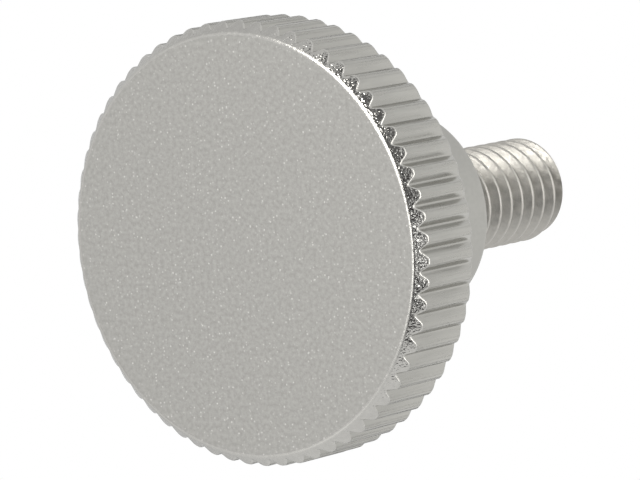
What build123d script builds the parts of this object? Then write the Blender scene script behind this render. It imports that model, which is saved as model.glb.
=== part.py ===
"""Knurled thumb screw: a flat disc head, a plain collar and a metric shank, turned in one piece.

It stands on the flat face of its head, centred on the origin, with the shank along +Z.
"""

import os
from math import pi, radians, tan

from build123d import *

# Head: the disc that the fingers turn
head_diameter = 16.0
head_thickness = 3.35
head_chamfer = 0.4

# Straight knurl round the head
knurl_pitch = 0.8
groove_depth = 0.25
groove_floor_width = 0.035
groove_angle = 90.0
lip_rounding = 0.15

# Plain collar that lifts the head off the work
collar_diameter = 7.8
collar_length = 6.25
collar_chamfer = 0.1
collar_foot_fillet = 0.2

# Shank, at the major diameter of its M4 thread
thread_diameter = 4.0
thread_length = 8.0
thread_end_chamfer = 0.4

# Radii, heights and the number of teeth that follow from the sizes above
head_radius = head_diameter / 2
collar_radius = collar_diameter / 2
thread_radius = thread_diameter / 2
face_radius = head_radius - head_chamfer
collar_end = head_thickness + collar_length
tooth_count = round(pi * head_diameter / knurl_pitch)

# Section of a groove: it opens outwards from its floor, past the round of the head
cut_radius = head_radius + head_chamfer / 2
groove_floor_radius = head_radius - groove_depth
groove_floor_half = groove_floor_width / 2
groove_mouth_half = groove_floor_half + tan(radians(groove_angle / 2)) * (cut_radius - groove_floor_radius)

# The chamfers are turned on a round that is a little wider than the head
chamfer_end = cut_radius - face_radius


def groove_cut() -> Sketch:
    """What one groove takes out of the round head, with its lips rounded."""
    with BuildSketch() as grooved_round:
        Circle(head_radius)
        with BuildLine():
            Polyline(
                (groove_floor_radius, -groove_floor_half),
                (cut_radius, -groove_mouth_half),
                (cut_radius, groove_mouth_half),
                (groove_floor_radius, groove_floor_half),
                close=True,
            )
        make_face(mode=Mode.SUBTRACT)
        corners = grooved_round.vertices().sort_by(lambda corner: corner.center().length)
        fillet(corners[-2:], lip_rounding)
    with BuildSketch() as cut:
        Circle(head_radius)
        add(grooved_round.sketch, mode=Mode.SUBTRACT)
    return cut.sketch


def knurled_round() -> Sketch:
    """Section across the head, with a groove between every two teeth."""
    one_groove = groove_cut()
    with BuildSketch() as section:
        Circle(head_radius)
        with PolarLocations(0, tooth_count):
            add(one_groove, mode=Mode.SUBTRACT)
    return section.sketch


head_section = knurled_round()

with BuildPart() as thumb_screw:
    # Head, with the teeth running straight from its face to its back
    add(head_section)
    extrude(amount=head_thickness)

    # Chamfers turned across both ends of the teeth
    with BuildSketch(Plane.XZ):
        with BuildLine():
            Polyline(
                (0, 0),
                (face_radius, 0),
                (cut_radius, chamfer_end),
                (cut_radius, head_thickness - chamfer_end),
                (face_radius, head_thickness),
                (0, head_thickness),
                close=True,
            )
        make_face()
    revolve(axis=Axis.Z, mode=Mode.INTERSECT)

    # Collar, with a small fillet where it leaves the back of the head
    with BuildSketch(Plane.XY.offset(head_thickness)):
        Circle(collar_radius)
    extrude(amount=collar_length)
    collar_rounds = thumb_screw.edges(Select.LAST).filter_by(GeomType.CIRCLE).sort_by(Axis.Z)
    fillet(collar_rounds[0], collar_foot_fillet)
    chamfer(thumb_screw.faces().sort_by(Axis.Z)[-1].edges(), collar_chamfer)

    # Shank, chamfered where the thread starts
    with BuildSketch(Plane.XY.offset(collar_end)):
        Circle(thread_radius)
    extrude(amount=thread_length)
    chamfer(thumb_screw.faces().sort_by(Axis.Z)[-1].edges(), thread_end_chamfer)

thumb_screw.part.label = "thumb_screw"

os.makedirs("parts", exist_ok=True)
export_step(thumb_screw.part, "parts/thumb_screw.step")
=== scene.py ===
"""Knurled thumb screw: the visual model of an M4 screw with a high knurled head, and its studio.

The screw stands on the flat face of its head, centred on the origin, with the shank along +Z.
The sub-assemblies are modelled in millimetres and brought to metres once, when they are joined.
The studio and the finishes are in metres.
"""

from __future__ import annotations

import logging
import math
from dataclasses import dataclass, field
from enum import Enum
from typing import Callable, Iterable

import bmesh
import bpy
from mathutils import Matrix, Vector

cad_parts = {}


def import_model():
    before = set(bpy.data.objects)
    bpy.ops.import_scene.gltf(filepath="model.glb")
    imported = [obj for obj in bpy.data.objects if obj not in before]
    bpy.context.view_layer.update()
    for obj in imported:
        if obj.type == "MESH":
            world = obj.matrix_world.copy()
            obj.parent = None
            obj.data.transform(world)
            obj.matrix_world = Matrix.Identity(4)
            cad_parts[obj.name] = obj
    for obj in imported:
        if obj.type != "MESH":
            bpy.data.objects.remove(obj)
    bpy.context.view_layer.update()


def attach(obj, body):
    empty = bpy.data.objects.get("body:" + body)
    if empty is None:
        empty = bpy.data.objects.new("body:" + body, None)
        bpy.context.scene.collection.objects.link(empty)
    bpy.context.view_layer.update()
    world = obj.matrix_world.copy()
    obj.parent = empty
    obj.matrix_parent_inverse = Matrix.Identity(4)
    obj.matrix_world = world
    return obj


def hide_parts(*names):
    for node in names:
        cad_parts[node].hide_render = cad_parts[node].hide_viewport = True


log = logging.getLogger("thumb_screw")

# Three numbers are a place, a direction or a lamp's colour, and four are a finish's colour
Triple = tuple[float, float, float]
Colour = tuple[float, float, float, float]
Span = tuple[float, float]

MILLIMETRE = 0.001

# Tolerances and roundings for finding vertices by their place, in millimetres and radians
NEAR = 1e-4
CLOSE = 1e-3
SAME_ANGLE = 2e-6
ANGLE_DIGITS = 6
RADIUS_DIGITS = 5

# Where most of a noise texture's values lie
NOISE_SPAN: Span = (0.3, 0.7)

WHITE: Colour = (1.0, 1.0, 1.0, 1.0)


class Skin(Enum):
    """The finishes of the screw, in the order of its material slots."""

    BLASTED = 0
    KNURLED = 1
    TURNED = 2
    THREADED = 3
    SATIN = 4
    BURNISHED = 5


class Element(Enum):
    """What is selected in a mesh."""

    VERTEX = "VERT"
    EDGE = "EDGE"
    FACE = "FACE"


class Blend(Enum):
    """What a mix node blends: its data type, its first input and its output."""

    NUMBER = ("FLOAT", 2, 0)
    COLOUR = ("RGBA", 6, 2)


# Modelling aids


def radius_of(place: Vector) -> float:
    """Distance of a place from the screw's axis."""
    return math.hypot(place.x, place.y)


def angle_of(place: Vector) -> float:
    """Angle of a place round the screw's axis, from +X."""
    return math.atan2(place.y, place.x)


def quarter_turn(steps: int) -> Iterable[float]:
    """Angles from 0 to 90 degrees in even steps, with both ends."""
    return (math.radians(90 * step / steps) for step in range(steps + 1))


def on_ring(edge: bmesh.types.BMEdge, radius: float, height: float) -> bool:
    """Tells whether an edge lies on a ring round the screw's axis.

    Args:
        edge: The edge.
        radius: The ring's radius.
        height: The ring's height.

    Returns:
        True if both its ends do.
    """
    return all(
        abs(radius_of(v.co) - radius) < CLOSE and abs(v.co.z - height) < CLOSE for v in edge.verts
    )


class Workpiece:
    """One mesh object that is worked on in edit mode, with selections made in code by place."""

    def __init__(self, name: str) -> None:
        """Starts a mesh that is a single vertex on the origin.

        Args:
            name: The object's name.
        """
        bpy.ops.object.select_all(action="DESELECT")
        bpy.ops.mesh.primitive_plane_add()
        self.thing: bpy.types.Object = bpy.context.active_object
        self.thing.name = name
        bpy.ops.object.mode_set(mode="EDIT")
        bpy.ops.mesh.select_mode(type="VERT")
        bpy.ops.mesh.select_all(action="SELECT")
        bpy.ops.mesh.merge(type="CENTER")

    @property
    def mesh(self) -> bmesh.types.BMesh:
        """The mesh as it stands in edit mode."""
        return bmesh.from_edit_mesh(self.thing.data)

    def open(self) -> None:
        """Enters edit mode on this object alone."""
        bpy.ops.object.select_all(action="DESELECT")
        bpy.context.view_layer.objects.active = self.thing
        bpy.ops.object.mode_set(mode="EDIT")

    def close(self) -> None:
        """Leaves edit mode."""
        bpy.ops.object.mode_set(mode="OBJECT")

    def pick(self, element: Element, test: Callable[..., bool]) -> None:
        """Selects the vertices, edges or faces that pass a test, and nothing else.

        Args:
            element: Which of them are selected.
            test: True for one to select.
        """
        bpy.ops.mesh.select_all(action="DESELECT")
        bpy.ops.mesh.select_mode(type=element.value)
        mesh = self.mesh
        pools = {Element.VERTEX: mesh.verts, Element.EDGE: mesh.edges, Element.FACE: mesh.faces}
        for candidate in pools[element]:
            if test(candidate):
                candidate.select_set(True)
        if element is Element.VERTEX:
            mesh.select_flush_mode()
        bmesh.update_edit_mesh(self.thing.data)

    def draw(self, points: Iterable[Triple]) -> None:
        """Moves the first vertex to the first point and extrudes it through the others.

        Args:
            points: The corners of the line, in order.
        """
        places = [Vector(point) for point in points]
        bpy.ops.transform.translate(value=places[0])
        for start, end in zip(places, places[1:]):
            self.extrude(end - start)

    def extrude(self, offset: Iterable[float] = (0.0, 0.0, 0.0)) -> None:
        """Extrudes what is selected by an offset."""
        bpy.ops.mesh.extrude_region_move(TRANSFORM_OT_translate={"value": offset})

    def merge(self) -> None:
        """Merges vertices that lie on each other."""
        bpy.ops.mesh.select_all(action="SELECT")
        bpy.ops.mesh.remove_doubles(threshold=CLOSE)

    def face_outwards(self) -> None:
        """Turns every face of the closed mesh outwards."""
        bpy.ops.mesh.select_all(action="SELECT")
        bpy.ops.mesh.normals_make_consistent(inside=False)

    def assign(self, skin: Skin) -> None:
        """Gives the selected faces a finish."""
        self.thing.active_material_index = skin.value
        bpy.ops.object.material_slot_assign()

    def apply(self, kind: str, **settings: object) -> None:
        """Adds one modifier in object mode and applies it.

        Args:
            kind: The modifier's type.
            settings: Values for the modifier.
        """
        bpy.context.view_layer.objects.active = self.thing
        bpy.ops.object.modifier_add(type=kind)
        modifier = self.thing.modifiers[-1]
        for name, value in settings.items():
            setattr(modifier, name, value)
        bpy.ops.object.modifier_apply(modifier=modifier.name)


# The screw's forms


@dataclass(frozen=True)
class TurnedBody:
    """Knurled head and plain collar: one sector of the turned skin, copied round the axis."""

    head_radius: float = 7.997
    head_thickness: float = 3.35
    head_chamfer: float = 0.4
    face_edge_break: float = 0.075
    face_edge_segments: int = 4
    tooth_count: int = 63
    tooth_edge_break: float = 0.055
    tooth_edge_segments: int = 3
    scallop_reach: float = 0.12
    groove_depth: float = 0.25
    floor_half: float = 0.0175
    floor_setback: float = 0.06
    floor_segments: int = 4
    mouth_band: float = 0.01
    lip_setback: float = 0.085
    lip_segments: int = 5
    longest_edge: float = 0.12
    collar_radius: float = 3.9
    collar_end: float = 9.6
    collar_rim: float = 0.1
    rim_steps: int = 4
    foot_fillet: float = 0.2
    fillet_steps: int = 6
    core_radius: float = 1.2
    edge_band: float = 0.12

    @property
    def face_radius(self) -> float:
        """Radius of the flat face inside the chamfer."""
        return self.head_radius - self.head_chamfer

    @property
    def middle_height(self) -> float:
        """Height of the middle of the head."""
        return self.head_thickness / 2

    @property
    def foot_radius(self) -> float:
        """Radius at which the fillet of the collar's foot starts."""
        return self.collar_radius + self.foot_fillet

    @property
    def pitch_angle(self) -> float:
        """Angle from one groove to the next."""
        return 2 * math.pi / self.tooth_count

    @property
    def mouth_angle(self) -> float:
        """Angle from the middle of a groove to its mouth."""
        return math.atan2(self.groove_depth + self.floor_half, self.head_radius)

    @property
    def sharp_floor_radius(self) -> float:
        """Radius at which the flanks of a groove would meet in a sharp floor."""
        return self.head_radius - self.groove_depth - self.floor_half

    def groove_outline(self) -> list[Triple]:
        """The round of the head from the middle of one crest to the middle of the next.

        Returns:
            Corners in the plane of the face, with one sharp groove in the middle.
        """
        angles = (self.pitch_angle / 2, self.mouth_angle, 0.0)
        radii = (self.head_radius, self.head_radius, self.sharp_floor_radius)
        half = [(r * math.cos(a), r * math.sin(a), 0.0) for r, a in zip(radii, angles)]
        return [(x, -y, z) for x, y, z in half] + half[-2::-1]

    def draw_groove(self, piece: Workpiece) -> None:
        """Draws the groove's outline, rounds its floor and lips and divides its longer edges.

        Args:
            piece: The mesh to draw in.
        """
        piece.draw(self.groove_outline())
        piece.pick(
            Element.VERTEX, lambda v: abs(radius_of(v.co) - self.sharp_floor_radius) < CLOSE
        )
        bpy.ops.mesh.bevel(
            offset=self.floor_setback, segments=self.floor_segments, affect="VERTICES"
        )
        piece.pick(
            Element.VERTEX,
            lambda v: abs(abs(angle_of(v.co)) - self.mouth_angle) < CLOSE
            and radius_of(v.co) > self.head_radius - self.mouth_band,
        )
        bpy.ops.mesh.bevel(offset=self.lip_setback, segments=self.lip_segments, affect="VERTICES")
        piece.pick(Element.EDGE, lambda edge: edge.calc_length() > self.longest_edge)
        bpy.ops.mesh.subdivide(number_cuts=1)

    def pick_row(self, piece: Workpiece, is_back: bool) -> None:
        """Selects the row of vertices at the back end or the front end of the band."""
        piece.pick(Element.VERTEX, lambda v: (v.co.z > self.middle_height) == is_back)

    def slope_ends(self, piece: Workpiece) -> None:
        """Pulls both ends of every column of the band back onto the 45 degree chamfers.

        Args:
            piece: The sector's mesh, which has a row of vertices at each end of the band.
        """
        columns = sorted({round(angle_of(v.co), ANGLE_DIGITS) for v in piece.mesh.verts})
        for column in columns:
            for is_back in (False, True):
                piece.pick(
                    Element.VERTEX,
                    lambda v: abs(angle_of(v.co) - column) < SAME_ANGLE
                    and (v.co.z > self.middle_height) == is_back,
                )
                radius = max(radius_of(v.co) for v in piece.mesh.verts if v.select)
                rise = radius - self.face_radius
                bpy.ops.transform.translate(value=(0.0, 0.0, -rise if is_back else rise))

    def turn_to(self, piece: Workpiece, radius: float, height: float) -> None:
        """Extrudes the selected row to a new row at one radius and one height.

        Args:
            piece: The sector's mesh, with one row selected.
            radius: Radius of the new row.
            height: Height of the new row.
        """
        piece.extrude()
        row = [v for v in piece.mesh.verts if v.select]
        indices = {v.index for v in row}
        old = {round(angle_of(v.co), ANGLE_DIGITS): (radius_of(v.co), v.co.z) for v in row}
        if len({round(start, RADIUS_DIGITS) for start, _ in old.values()}) == 1:
            start, level = next(iter(old.values()))
            scale = radius / start
            bpy.ops.transform.resize(value=(scale, scale, 1.0), center_override=(0.0, 0.0, level))
            bpy.ops.transform.translate(value=(0.0, 0.0, height - level))
            return
        for angle, (start, level) in sorted(old.items()):
            piece.pick(
                Element.VERTEX,
                lambda v: v.index in indices and abs(angle_of(v.co) - angle) < SAME_ANGLE,
            )
            step = radius - start
            bpy.ops.transform.translate(
                value=(step * math.cos(angle), step * math.sin(angle), height - level)
            )
        piece.pick(Element.VERTEX, lambda v: v.index in indices)

    def turn_front(self, piece: Workpiece) -> None:
        """Turns the front chamfer and the outer band of the flat face.

        Args:
            piece: The sector's mesh, with both ends of its band sloped.
        """
        self.pick_row(piece, is_back=False)
        self.turn_to(piece, self.face_radius, 0.0)
        self.turn_to(piece, self.face_radius - self.edge_band, 0.0)

    def turn_back(self, piece: Workpiece) -> None:
        """Turns the back chamfer, the back of the head and the collar up to its core.

        Args:
            piece: The sector's mesh, with both ends of its band sloped.
        """
        self.pick_row(piece, is_back=True)
        self.turn_to(piece, self.face_radius, self.head_thickness)
        self.turn_to(piece, self.face_radius - self.edge_band, self.head_thickness)
        self.turn_to(piece, self.foot_radius + self.edge_band, self.head_thickness)
        for angle in quarter_turn(self.fillet_steps):
            self.turn_to(
                piece,
                self.foot_radius - self.foot_fillet * math.sin(angle),
                self.head_thickness + self.foot_fillet * (1 - math.cos(angle)),
            )
        self.turn_to(piece, self.collar_radius, self.collar_end - self.collar_rim - self.edge_band)
        for angle in quarter_turn(self.rim_steps):
            self.turn_to(
                piece,
                self.collar_radius - self.collar_rim * (1 - math.cos(angle)),
                self.collar_end - self.collar_rim * (1 - math.sin(angle)),
            )
        self.turn_to(piece, self.collar_radius - self.collar_rim - self.edge_band, self.collar_end)
        self.turn_to(piece, self.core_radius, self.collar_end)

    def copy_round(self, piece: Workpiece) -> None:
        """Copies the sector round the axis and merges the seams.

        Args:
            piece: The mesh of one sector.
        """
        bpy.ops.mesh.select_all(action="SELECT")
        copies = self.tooth_count - 1
        bpy.ops.mesh.spin(
            steps=copies,
            dupli=True,
            angle=copies * self.pitch_angle,
            center=(0.0, 0.0, 0.0),
            axis=(0.0, 0.0, 1.0),
        )
        piece.merge()

    def close_ends(self, piece: Workpiece) -> None:
        """Fills the flat face and the middle of the collar's end.

        Args:
            piece: The mesh of the whole round.
        """
        for radius, height in (
            (self.face_radius - self.edge_band, 0.0),
            (self.core_radius, self.collar_end),
        ):
            piece.pick(Element.EDGE, lambda edge: on_ring(edge, radius, height))
            bpy.ops.mesh.edge_face_add()

    def on_scallops(self, edge: bmesh.types.BMEdge) -> bool:
        """Tells whether an edge lies where the side of a tooth meets a chamfer.

        Args:
            edge: The edge.

        Returns:
            True if both its ends do.
        """
        for v in edge.verts:
            reach = radius_of(v.co) - self.face_radius
            depth = min(v.co.z, self.head_thickness - v.co.z)
            if reach < self.scallop_reach or abs(depth - reach) > CLOSE:
                return False
        return True

    def break_edges(self, piece: Workpiece) -> None:
        """Rounds the edges of the flat faces and the scalloped edges of the chamfers.

        Args:
            piece: The closed mesh.
        """
        for height in (0.0, self.head_thickness):
            piece.pick(Element.EDGE, lambda edge: on_ring(edge, self.face_radius, height))
            bpy.ops.mesh.bevel(
                offset=self.face_edge_break, segments=self.face_edge_segments, affect="EDGES"
            )
        piece.pick(Element.EDGE, self.on_scallops)
        bpy.ops.mesh.bevel(
            offset=self.tooth_edge_break, segments=self.tooth_edge_segments, affect="EDGES"
        )

    def build(self) -> Workpiece:
        """Models the head and the collar as one closed skin.

        Returns:
            The workpiece, in object mode.
        """
        piece = Workpiece("turned_body")
        self.draw_groove(piece)
        bpy.ops.mesh.select_all(action="SELECT")
        piece.extrude((0.0, 0.0, self.head_thickness))
        self.slope_ends(piece)
        self.turn_front(piece)
        self.turn_back(piece)
        self.copy_round(piece)
        self.close_ends(piece)
        piece.face_outwards()
        self.break_edges(piece)
        piece.close()
        return piece

    def dress(self, piece: Workpiece) -> None:
        """Gives each region of the skin its finish.

        Args:
            piece: The closed skin, in object mode, with a slot for every finish.
        """
        piece.open()
        for test, skin in BodyRegions(self).in_order():
            piece.pick(Element.FACE, test)
            piece.assign(skin)
        piece.close()


@dataclass(frozen=True)
class BodyRegions:
    """Which faces of the turned body get which finish, told by their place and their slope.

    A slope is how far a face's normal points down: 0 where it stands upright, 1 where it lies flat.
    """

    size: TurnedBody
    tooth_band: float = 0.3
    rim_margin: float = 0.01
    rim_band: float = 0.1
    rim_height: float = 0.2
    chamfer_margin: float = 0.1
    collar_low: float = 3.0
    upright: float = 0.08
    steep: float = 0.67
    gentle: float = 0.74
    almost_flat: float = 0.99
    chamfer_flat: float = 0.992
    flat: float = 0.999

    def is_tooth_side(self, face: bmesh.types.BMFace) -> bool:
        """Tells whether a face belongs to the knurl's flanks, crests and floors."""
        reach = radius_of(face.calc_center_median())
        return reach > self.size.head_radius - self.tooth_band and abs(face.normal.z) < self.upright

    def is_front_chamfer(self, face: bmesh.types.BMFace) -> bool:
        """Tells whether a face belongs to the front chamfer or to its broken edges.

        Args:
            face: The face.

        Returns:
            True if it does.
        """
        middle = face.calc_center_median()
        if radius_of(middle) < self.size.face_radius - self.size.face_edge_break - self.rim_margin:
            return False
        is_low = middle.z < self.size.head_chamfer + self.chamfer_margin
        return is_low and self.upright < -face.normal.z < self.chamfer_flat

    def is_front_edge(self, face: bmesh.types.BMFace) -> bool:
        """Tells whether a face belongs to the broken edge of the flat face or of a tooth's end.

        Args:
            face: The face.

        Returns:
            True if it does.
        """
        slope = -face.normal.z
        if not self.is_front_chamfer(face) and slope < self.almost_flat:
            return False
        middle = face.calc_center_median()
        is_near_rim = abs(radius_of(middle) - self.size.face_radius) < self.rim_band
        is_rim = is_near_rim and self.gentle < slope < self.flat and middle.z < self.rim_height
        return is_rim or self.upright < slope < self.steep

    def is_collar(self, face: bmesh.types.BMFace) -> bool:
        """Tells whether a face belongs to the collar."""
        middle = face.calc_center_median()
        return radius_of(middle) < self.size.foot_radius and middle.z > self.collar_low

    def in_order(self) -> tuple[tuple[Callable[[bmesh.types.BMFace], bool], Skin], ...]:
        """Lists the regions, of which a later one covers an earlier one.

        Returns:
            Each region's test with the finish of its faces.
        """
        return (
            (self.is_tooth_side, Skin.KNURLED),
            (self.is_front_chamfer, Skin.TURNED),
            (self.is_front_edge, Skin.BURNISHED),
            (self.is_collar, Skin.SATIN),
        )


@dataclass(frozen=True)
class ThreadedShank:
    """Right-hand M4 thread from inside the collar to the chamfered end of the shank."""

    pitch: float = 0.7
    flank_angle: float = 30.0
    thread_depth: float = 0.39
    crest_radius: float = 1.965
    crest_width: float = 0.11
    crest_setback: float = 0.05
    crest_segments: int = 4
    crest_phase: float = 10.389
    root_setback: float = 0.04
    root_segments: int = 3
    turns: int = 13
    steps_per_turn: int = 96
    start: float = 9.4
    end: float = 17.6
    spare_end: float = 0.08
    end_radius: float = 1.6
    blank_radius: float = 2.2
    blank_sink: float = 1.0

    @property
    def root_radius(self) -> float:
        """Radius of the thread's roots."""
        return self.crest_radius - self.thread_depth

    def profile(self) -> list[Triple]:
        """One pitch of the thread's section, from the middle of a root to the next.

        Returns:
            Corners in the XZ plane.
        """
        flank = self.thread_depth * math.tan(math.radians(self.flank_angle))
        root_half = (self.pitch - self.crest_width - 2 * flank) / 2
        crest_low = root_half + flank
        crest_high = crest_low + self.crest_width
        first = self.crest_phase - self.pitch / 2
        while first > self.start - self.pitch:
            first -= self.pitch
        return [
            (self.root_radius, 0.0, first),
            (self.root_radius, 0.0, first + root_half),
            (self.crest_radius, 0.0, first + crest_low),
            (self.crest_radius, 0.0, first + crest_high),
            (self.root_radius, 0.0, first + self.pitch - root_half),
            (self.root_radius, 0.0, first + self.pitch),
        ]

    def draw_profile(self, piece: Workpiece) -> None:
        """Draws the section and rounds its crest and its roots.

        Args:
            piece: The mesh to draw in.
        """
        piece.draw(self.profile())
        piece.pick(Element.VERTEX, lambda v: v.co.x > self.crest_radius - NEAR)
        bpy.ops.mesh.bevel(
            offset=self.crest_setback, segments=self.crest_segments, affect="VERTICES"
        )
        piece.pick(
            Element.VERTEX,
            lambda v: abs(v.co.x - self.root_radius) < NEAR and len(v.link_edges) == 2,
        )
        bpy.ops.mesh.bevel(offset=self.root_setback, segments=self.root_segments, affect="VERTICES")

    def trim(self, piece: Workpiece) -> None:
        """Cuts the thread off inside the collar and just past its end, and closes the cuts.

        Args:
            piece: The thread, in edit mode.
        """
        for height, side in ((self.start, 1.0), (self.end + self.spare_end, -1.0)):
            bpy.ops.mesh.select_all(action="SELECT")
            bpy.ops.mesh.bisect(
                plane_co=(0.0, 0.0, height),
                plane_no=(0.0, 0.0, side),
                use_fill=True,
                clear_inner=True,
            )
        piece.face_outwards()

    def chamfer_end(self, piece: Workpiece) -> None:
        """Turns the chamfer on the end, which the thread runs out into.

        Args:
            piece: The thread, in object mode.
        """
        low = self.start - self.blank_sink
        bpy.ops.object.select_all(action="DESELECT")
        bpy.ops.mesh.primitive_cylinder_add(
            vertices=self.steps_per_turn,
            radius=self.blank_radius,
            depth=self.end - low,
            location=(0.0, 0.0, (self.end + low) / 2),
        )
        blank = bpy.context.active_object
        bpy.ops.object.mode_set(mode="EDIT")
        bpy.ops.mesh.select_all(action="DESELECT")
        bpy.ops.mesh.select_mode(type="EDGE")
        mesh = bmesh.from_edit_mesh(blank.data)
        top = max(v.co.z for v in mesh.verts)
        for edge in mesh.edges:
            edge.select_set(all(v.co.z > top - NEAR for v in edge.verts))
        bmesh.update_edit_mesh(blank.data)
        bpy.ops.mesh.bevel(offset=self.blank_radius - self.end_radius, segments=1, affect="EDGES")
        bpy.ops.object.mode_set(mode="OBJECT")
        bpy.ops.object.transform_apply(location=True, rotation=True, scale=True)
        bpy.ops.object.select_all(action="DESELECT")
        piece.thing.select_set(True)
        piece.apply("BOOLEAN", operation="INTERSECT", solver="EXACT", object=blank)
        bpy.data.objects.remove(blank, do_unlink=True)

    def build(self) -> Workpiece:
        """Models the thread as one closed skin.

        Returns:
            The workpiece, in object mode.
        """
        piece = Workpiece("threaded_shank")
        self.draw_profile(piece)
        piece.close()
        piece.apply(
            "SCREW",
            angle=2 * math.pi,
            screw_offset=self.pitch,
            iterations=self.turns,
            steps=self.steps_per_turn,
            render_steps=self.steps_per_turn,
            use_merge_vertices=False,
            use_smooth_shade=False,
        )
        piece.open()
        piece.merge()
        self.trim(piece)
        piece.close()
        self.chamfer_end(piece)
        return piece

    def dress(self, piece: Workpiece) -> None:
        """Gives the whole thread its finish.

        Args:
            piece: The thread, in object mode, with a slot for every finish.
        """
        piece.open()
        bpy.ops.mesh.select_all(action="SELECT")
        piece.assign(Skin.THREADED)
        piece.close()


# Finishes


class NodeSheet:
    """A material's or a world's nodes, with short calls for adding and linking them."""

    def __init__(self, tree: bpy.types.NodeTree) -> None:
        """Empties the tree and keeps it."""
        self.tree = tree
        self.tree.nodes.clear()

    def feed(self, socket: bpy.types.NodeSocket, value: object) -> None:
        """Gives an input a value, or links it to another node's output.

        Args:
            socket: The input.
            value: A value, or an output socket.
        """
        if isinstance(value, bpy.types.NodeSocket):
            self.tree.links.new(value, socket)
        else:
            socket.default_value = value

    def add(self, kind: str, **inputs: object) -> bpy.types.Node:
        """Adds a node.

        Args:
            kind: The node's type name.
            inputs: Values or output sockets by input name, or the values of attributes by
                their names with a leading underscore.

        Returns:
            The new node.
        """
        node = self.tree.nodes.new(kind)
        for name, value in inputs.items():
            if name.startswith("_"):
                setattr(node, name[1:], value)
            else:
                self.feed(node.inputs[name.replace("_", " ")], value)
        return node

    def remap(
        self,
        value: bpy.types.NodeSocket,
        span: Span,
        result: Span = (0.0, 1.0),
        is_smooth: bool = False,
    ) -> bpy.types.NodeSocket:
        """Stretches one span of a value onto another, and holds the value within it.

        Args:
            value: The value.
            span: The two values that are moved.
            result: Where they are moved to.
            is_smooth: True for a soft start and end.

        Returns:
            The new value.
        """
        node = self.add(
            "ShaderNodeMapRange",
            _interpolation_type="SMOOTHSTEP" if is_smooth else "LINEAR",
            Value=value,
            From_Min=span[0],
            From_Max=span[1],
            To_Min=result[0],
            To_Max=result[1],
        )
        return node.outputs["Result"]

    def mix(
        self, blend: Blend, factor: bpy.types.NodeSocket, first: object, second: object
    ) -> bpy.types.NodeSocket:
        """Mixes two numbers or two colours.

        Args:
            blend: Which of them are mixed.
            factor: Share of the second.
            first: A value or an output socket.
            second: A value or an output socket.

        Returns:
            The mix.
        """
        data_type, start, output = blend.value
        node = self.add("ShaderNodeMix", _data_type=data_type, Factor=factor)
        self.feed(node.inputs[start], first)
        self.feed(node.inputs[start + 1], second)
        return node.outputs[output]

    def mix_shaders(
        self,
        factor: bpy.types.NodeSocket,
        first: bpy.types.NodeSocket,
        second: bpy.types.NodeSocket,
    ) -> bpy.types.NodeSocket:
        """Mixes two shaders.

        Args:
            factor: Share of the second.
            first: One shader.
            second: The other shader.

        Returns:
            The mixed shader.
        """
        node = self.add("ShaderNodeMixShader", Fac=factor)
        self.feed(node.inputs[1], first)
        self.feed(node.inputs[2], second)
        return node.outputs["Shader"]

    def maths(self, operation: str, first: object, second: object) -> bpy.types.NodeSocket:
        """Works out one number from two.

        Args:
            operation: The operation's name.
            first: A value or an output socket.
            second: A value or an output socket.

        Returns:
            The result.
        """
        node = self.add("ShaderNodeMath", _operation=operation)
        self.feed(node.inputs[0], first)
        self.feed(node.inputs[1], second)
        return node.outputs["Value"]

    def bump(
        self,
        height: bpy.types.NodeSocket,
        strength: float,
        depth: float,
        under: bpy.types.NodeSocket | None = None,
    ) -> bpy.types.NodeSocket:
        """Bends the surface's normal by a height.

        Args:
            height: The height, from 0 to 1.
            strength: Share of the relief that shows.
            depth: Depth of the relief in metres.
            under: The normal that is bent, where it isn't the mesh's own.

        Returns:
            The bent normal.
        """
        node = self.add("ShaderNodeBump", Height=height, Strength=strength, Distance=depth)
        if under is not None:
            self.feed(node.inputs["Normal"], under)
        return node.outputs["Normal"]


class MetalSheet(NodeSheet):
    """The nodes of one new metal, from its name to its surface."""

    def __init__(self, name: str) -> None:
        """Starts a material without nodes.

        Args:
            name: The material's name.
        """
        self.material = bpy.data.materials.new(name)
        self.material.use_nodes = True
        super().__init__(self.material.node_tree)

    def plate(
        self,
        colour: bpy.types.NodeSocket,
        roughness: bpy.types.NodeSocket,
        normal: bpy.types.NodeSocket,
    ) -> bpy.types.Material:
        """Ends the nodes with the metal's surface.

        Args:
            colour: The metal's colour.
            roughness: Its roughness.
            normal: Its bent normal.

        Returns:
            The finished material.
        """
        metal = self.add(
            "ShaderNodeBsdfPrincipled",
            Metallic=1.0,
            Base_Color=colour,
            Roughness=roughness,
            Normal=normal,
        )
        self.add("ShaderNodeOutputMaterial", Surface=metal.outputs["BSDF"])
        return self.material


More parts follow.
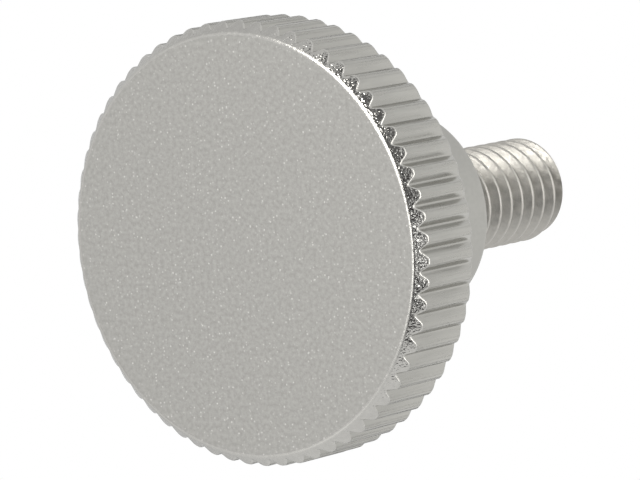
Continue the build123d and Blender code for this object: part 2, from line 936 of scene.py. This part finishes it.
@dataclass(frozen=True)
class BlastedNickel:
    """Satin nickel over a bead-blasted surface, with painted glints, for the flat sides of the
    head.
    """

    name: str = "blasted_nickel"
    light: Colour = (0.412, 0.406, 0.387, 1.0)
    dark: Colour = (0.337, 0.332, 0.315, 1.0)
    roughness: Span = (0.36, 0.5)
    grain_per_metre: float = 6600.0
    grain_detail: float = 2.5
    grain_roughness: float = 0.65
    grain_span: Span = (0.34, 0.68)
    grain_depth: float = 0.000009
    grain_strength: float = 0.5
    speck_per_metre: float = 30000.0
    speck_detail: float = 1.0
    speck_depth: float = 0.000003
    speck_strength: float = 0.45
    # Colour of the painted glints, and the size, softness and share of their dots
    painted_glint: Colour = (0.671, 0.663, 0.64, 1.0)
    painted_glint_per_metre: float = 6500.0
    painted_glint_edge: Span = (0.1, 0.28)
    painted_glint_choice: Span = (0.25, 1.1)

    def make(self) -> bpy.types.Material:
        """Builds the material.

        Returns:
            The material, with its grain on Object coordinates.
        """
        sheet = MetalSheet(self.name)
        place = sheet.add("ShaderNodeTexCoord").outputs["Object"]
        grain = sheet.add(
            "ShaderNodeTexNoise",
            Vector=place,
            Scale=self.grain_per_metre,
            Detail=self.grain_detail,
            Roughness=self.grain_roughness,
        ).outputs["Fac"]
        specks = sheet.add(
            "ShaderNodeTexNoise", Vector=place, Scale=self.speck_per_metre, Detail=self.speck_detail
        ).outputs["Fac"]
        shade = sheet.remap(grain, self.grain_span)
        plain = sheet.mix(Blend.COLOUR, shade, self.dark, self.light)
        # Painted glints: bright dots mixed into the colour
        colour = sheet.mix(Blend.COLOUR, self.painted_glints(sheet, place), plain, self.painted_glint)
        rough = sheet.remap(specks, NOISE_SPAN, self.roughness)
        relief = sheet.bump(grain, self.grain_strength, self.grain_depth)
        fine = sheet.bump(specks, self.speck_strength, self.speck_depth, relief)
        return sheet.plate(colour, rough, fine)

    def painted_glints(self, sheet: NodeSheet, place: bpy.types.NodeSocket) -> bpy.types.NodeSocket:
        """Makes tiny bright dots in the metal's colour: painted glints, standing in for the sparkle
        of the blasted grains.

        Args:
            sheet: The material's nodes.
            place: Object coordinates.

        Returns:
            A mask for the painted glints that is brightest in the middle of a dot.
        """
        cells = sheet.add("ShaderNodeTexVoronoi", Vector=place, Scale=self.painted_glint_per_metre)
        dot = sheet.remap(cells.outputs["Distance"], self.painted_glint_edge, (1.0, 0.0))
        parted = sheet.add("ShaderNodeSeparateColor", Color=cells.outputs["Color"])
        chosen = sheet.remap(parted.outputs["Red"], self.painted_glint_choice)
        return sheet.maths("MULTIPLY", dot, chosen)


@dataclass(frozen=True)
class RippledNickel:
    """Nickel over a cut surface with a fine ripple, for everything that isn't blasted."""

    name: str
    light: Colour
    dark: Colour
    roughness: Span
    ripple_depth: float
    ripple_per_metre: float = 12000.0
    ripple_detail: float = 3.0
    ripple_roughness: float = 0.65
    ripple_strength: float = 0.7
    smear_detail: float = 2.0
    along_axis: float = 1.0

    def make(self) -> bpy.types.Material:
        """Builds the material.

        Returns:
            The material, with its ripple on Object coordinates.
        """
        sheet = MetalSheet(self.name)
        place = sheet.add("ShaderNodeTexCoord").outputs["Object"]
        drawn = sheet.add(
            "ShaderNodeMapping", Vector=place, Scale=(1.0, 1.0, self.along_axis)
        ).outputs["Vector"]
        ripple = sheet.add(
            "ShaderNodeTexNoise",
            Vector=drawn,
            Scale=self.ripple_per_metre,
            Detail=self.ripple_detail,
            Roughness=self.ripple_roughness,
        ).outputs["Fac"]
        smear = sheet.add(
            "ShaderNodeTexNoise",
            Vector=drawn,
            Scale=self.ripple_per_metre / 2,
            Detail=self.smear_detail,
        ).outputs["Fac"]
        colour = sheet.mix(Blend.COLOUR, smear, self.dark, self.light)
        rough = sheet.remap(smear, NOISE_SPAN, self.roughness)
        relief = sheet.bump(ripple, self.ripple_strength, self.ripple_depth)
        return sheet.plate(colour, rough, relief)


FINISHES: dict[Skin, BlastedNickel | RippledNickel] = {
    Skin.BLASTED: BlastedNickel(),
    Skin.KNURLED: RippledNickel(
        name="knurled_nickel",
        light=(0.429, 0.424, 0.396, 1.0),
        dark=(0.341, 0.336, 0.314, 1.0),
        roughness=(0.24, 0.34),
        ripple_depth=0.0000038,
        along_axis=0.12,
    ),
    Skin.TURNED: RippledNickel(
        name="turned_nickel",
        light=(0.525, 0.517, 0.491, 1.0),
        dark=(0.425, 0.418, 0.396, 1.0),
        roughness=(0.06, 0.2),
        ripple_depth=0.00004,
        ripple_per_metre=10000.0,
        ripple_detail=1.0,
    ),
    Skin.THREADED: RippledNickel(
        name="threaded_nickel",
        light=(0.55, 0.534, 0.497, 1.0),
        dark=(0.318, 0.309, 0.288, 1.0),
        roughness=(0.34, 0.52),
        ripple_depth=0.000024,
        ripple_per_metre=8000.0,
    ),
    Skin.SATIN: RippledNickel(
        name="satin_nickel",
        light=(0.418, 0.412, 0.388, 1.0),
        dark=(0.334, 0.331, 0.31, 1.0),
        roughness=(0.38, 0.46),
        ripple_depth=0.000004,
    ),
    Skin.BURNISHED: RippledNickel(
        name="burnished_edge",
        light=(0.53, 0.521, 0.495, 1.0),
        dark=(0.43, 0.423, 0.401, 1.0),
        roughness=(0.14, 0.28),
        ripple_depth=0.000014,
    ),
}


# The whole screw


@dataclass(frozen=True)
class ThumbScrew:
    """The one-piece screw: turned body and thread, dressed, joined and placed."""

    body: TurnedBody = field(default_factory=TurnedBody)
    shank: ThreadedShank = field(default_factory=ThreadedShank)
    smooth_below: float = 35.0
    normal_weight: int = 60

    def dress(self, body: Workpiece, shank: Workpiece) -> None:
        """Makes the finishes, gives both parts a slot for each, and dresses them.

        Args:
            body: The turned head and collar.
            shank: The thread.
        """
        materials = [FINISHES[skin].make() for skin in Skin]
        for piece in (body, shank):
            for material in materials:
                piece.thing.data.materials.append(material)
        self.body.dress(body)
        self.shank.dress(shank)

    def build(self) -> bpy.types.Object:
        """Models and dresses the screw.

        Returns:
            The finished object, in metres, with its place in its mesh.
        """
        body = self.body.build()
        shank = self.shank.build()
        self.dress(body, shank)
        bpy.ops.object.select_all(action="DESELECT")
        shank.thing.select_set(True)
        body.thing.select_set(True)
        bpy.context.view_layer.objects.active = body.thing
        bpy.ops.object.join()
        screw = body.thing
        screw.name = "knurled_thumb_screw"
        screw.data.name = "knurled_thumb_screw"
        screw.scale = (MILLIMETRE, MILLIMETRE, MILLIMETRE)
        bpy.ops.object.transform_apply(location=True, rotation=True, scale=True)
        bpy.ops.object.shade_smooth_by_angle(angle=math.radians(self.smooth_below))
        body.apply("WEIGHTED_NORMAL", keep_sharp=True, weight=self.normal_weight)
        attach(screw, "root")
        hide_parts("thumb_screw")
        return screw


# Studio


@dataclass(frozen=True)
class SoftBox:
    """One oval lamp that faces the screw."""

    name: str
    towards: Triple
    width: float
    height: float
    watts: float
    distance: float = 0.4
    tint: Triple = (1.0, 0.985, 0.955)

    def place(self, aim: Vector) -> None:
        """Adds the lamp.

        Args:
            aim: The point that it faces.
        """
        way = Vector(self.towards).normalized()
        bpy.ops.object.light_add(type="AREA", location=aim + way * self.distance)
        lamp = bpy.context.active_object
        lamp.name = self.name
        lamp.rotation_euler = way.to_track_quat("Z", "Y").to_euler()
        lamp.data.shape = "ELLIPSE"
        lamp.data.size = self.width
        lamp.data.size_y = self.height
        lamp.data.energy = self.watts
        lamp.data.color = self.tint
        lamp.visible_camera = False


@dataclass(frozen=True)
class Card:
    """One round card with a soft edge, dark or bright, which the camera sees only in the metal.

    It is full strength within its inner angle from its middle, and gone at its outer angle.
    """

    towards: Triple
    inner: float
    outer: float
    strength: float

    def cover(
        self, sheet: NodeSheet, place: bpy.types.NodeSocket, light: bpy.types.NodeSocket
    ) -> bpy.types.NodeSocket:
        """Puts the card in front of the surroundings.

        Args:
            sheet: The world's nodes.
            place: The direction that is looked in.
            light: Strength of the surroundings behind the card.

        Returns:
            The strength with the card in place.
        """
        facing = sheet.add("ShaderNodeVectorMath", _operation="DOT_PRODUCT")
        sheet.feed(facing.inputs[0], place)
        sheet.feed(facing.inputs[1], Vector(self.towards).normalized())
        edge = (math.cos(math.radians(self.outer)), math.cos(math.radians(self.inner)))
        mask = sheet.remap(facing.outputs["Value"], edge, is_smooth=True)
        return sheet.mix(Blend.NUMBER, mask, light, self.strength)


@dataclass(frozen=True)
class Surroundings:
    """The world: plain white to the camera, and white with cards to the metal.

    The camera and the mirrored rays meet the backdrop's strength, and all others the surround's.
    """

    backdrop: float = 1.0
    surround: float = 0.85
    cards: tuple[Card, ...] = (
        # Dark round the camera, with a bright card on its right
        Card((0.68, 0.12, -0.72), inner=22.0, outer=43.0, strength=0.05),
        Card((0.77, 0.13, -0.61), inner=4.0, outer=11.0, strength=3.3),
        # Pale below the camera and dark above it
        Card((0.46, 0.745, -0.48), inner=8.0, outer=13.0, strength=1.1),
        Card((0.4, -0.76, -0.52), inner=16.0, outer=31.0, strength=0.18),
        # Lightly shaded on the far side
        Card((-0.6, -0.78, -0.05), inner=15.0, outer=42.0, strength=0.8),
        Card((-0.8, 0.25, 0.5), inner=20.0, outer=50.0, strength=0.76),
    )

    def build(self) -> None:
        """Builds the world and gives it to the scene."""
        world = bpy.data.worlds.new("studio")
        bpy.context.scene.world = world
        world.use_nodes = True
        sheet = NodeSheet(world.node_tree)
        place = sheet.add("ShaderNodeTexCoord").outputs["Generated"]
        seen = sheet.add("ShaderNodeLightPath")
        mirrored = sheet.maths(
            "MAXIMUM", seen.outputs["Is Glossy Ray"], seen.outputs["Is Transmission Ray"]
        )
        light = sheet.mix(Blend.NUMBER, mirrored, self.surround, self.backdrop)
        for card in self.cards:
            light = card.cover(sheet, place, light)
        shown = sheet.mix(Blend.NUMBER, seen.outputs["Is Camera Ray"], light, self.backdrop)
        white = sheet.add("ShaderNodeBackground", Color=WHITE, Strength=shown)
        sheet.add("ShaderNodeOutputWorld", Surface=white.outputs["Background"])


@dataclass(frozen=True)
class Floor:
    """The pale round floor, which only cameras above it see."""

    drop: float = 0.00002
    radius: float = 3.0
    sides: int = 96
    pale: Colour = (0.9, 0.9, 0.895, 1.0)
    fade: Span = (0.03, 0.16)

    def dress(self) -> bpy.types.Material:
        """Builds the material, pale under the screw and white away from it.

        Returns:
            The material, which is clear from below and in mirrors.
        """
        material = bpy.data.materials.new("pale_floor")
        material.use_nodes = True
        sheet = NodeSheet(material.node_tree)
        pale = sheet.add("ShaderNodeBsdfDiffuse", Color=self.pale)
        white = sheet.add("ShaderNodeEmission", Color=WHITE, Strength=1.0)
        place = sheet.add("ShaderNodeTexCoord").outputs["Object"]
        reach = sheet.add("ShaderNodeVectorMath", _operation="LENGTH")
        sheet.feed(reach.inputs[0], place)
        fade = sheet.remap(reach.outputs["Value"], self.fade, is_smooth=True)
        top = sheet.mix_shaders(fade, pale.outputs["BSDF"], white.outputs["Emission"])
        seen = sheet.add("ShaderNodeLightPath").outputs["Is Camera Ray"]
        behind = sheet.add("ShaderNodeNewGeometry").outputs["Backfacing"]
        shown = sheet.maths("MULTIPLY", seen, sheet.maths("SUBTRACT", 1.0, behind))
        clear = sheet.add("ShaderNodeBsdfTransparent").outputs["BSDF"]
        surface = sheet.mix_shaders(shown, clear, top)
        sheet.add("ShaderNodeOutputMaterial", Surface=surface)
        return material

    def build(self) -> None:
        """Lays the floor just under the screw."""
        bpy.ops.object.select_all(action="DESELECT")
        bpy.ops.mesh.primitive_circle_add(
            vertices=self.sides,
            radius=self.radius,
            fill_type="NGON",
            location=(0.0, 0.0, -self.drop),
        )
        floor = bpy.context.active_object
        floor.name = "floor"
        floor.data.materials.append(self.dress())


@dataclass(frozen=True)
class PhotoCamera:
    """The camera at the photograph's viewing angle, in metres and in millimetres of film."""

    place: Triple = (0.105111, -0.019276, -0.130158)
    right: Triple = (0.79111, 0.05661, 0.60906)
    up: Triple = (-0.02522, -0.99182, 0.12495)
    lens: float = 266.6
    sensor: float = 36.0
    nearest: float = 0.01
    farthest: float = 20.0

    def build(self) -> None:
        """Adds the camera and makes it the scene's."""
        bpy.ops.object.camera_add()
        camera = bpy.context.active_object
        right = Vector(self.right).normalized()
        leaning = Vector(self.up)
        up = (leaning - right * leaning.dot(right)).normalized()
        turn = Matrix((right, up, right.cross(up))).transposed()
        camera.matrix_world = Matrix.Translation(Vector(self.place)) @ turn.to_4x4()
        camera.data.sensor_width = self.sensor
        camera.data.lens = self.lens
        camera.data.clip_start = self.nearest
        camera.data.clip_end = self.farthest
        bpy.context.scene.camera = camera


@dataclass(frozen=True)
class Studio:
    """Surroundings, floor, soft boxes and camera."""

    surroundings: Surroundings = field(default_factory=Surroundings)
    floor: Floor = field(default_factory=Floor)
    camera: PhotoCamera = field(default_factory=PhotoCamera)
    aim: Triple = (0.0, 0.0, 0.006)
    boxes: tuple[SoftBox, ...] = (
        SoftBox("key", (0.04, -0.5, -0.86), width=0.23, height=0.27, watts=1.42),
        SoftBox("edge", (-0.06, 0.04, -1.0), width=0.14, height=0.14, watts=0.14),
        SoftBox("fill", (-0.34, 0.62, -0.7), width=0.18, height=0.18, watts=0.022),
        SoftBox("rim", (0.98, -0.12, 0.08), width=0.5, height=0.13, watts=0.55),
        SoftBox("top", (0.12, 0.1, 1.0), width=0.5, height=0.5, watts=0.13),
    )

    def build(self) -> None:
        """Sets up the surroundings, the floor, the lamps and the camera."""
        bpy.context.scene.view_settings.view_transform = "Standard"
        self.surroundings.build()
        self.floor.build()
        for box in self.boxes:
            box.place(Vector(self.aim))
        self.camera.build()


def main() -> None:
    """Builds the screw and its studio."""
    logging.basicConfig(level=logging.INFO, format="%(message)s")
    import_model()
    screw = ThumbScrew().build()
    log.info("piece %s: %d faces", screw.name, len(screw.data.polygons))
    Studio().build()


if __name__ == "__main__":
    main()
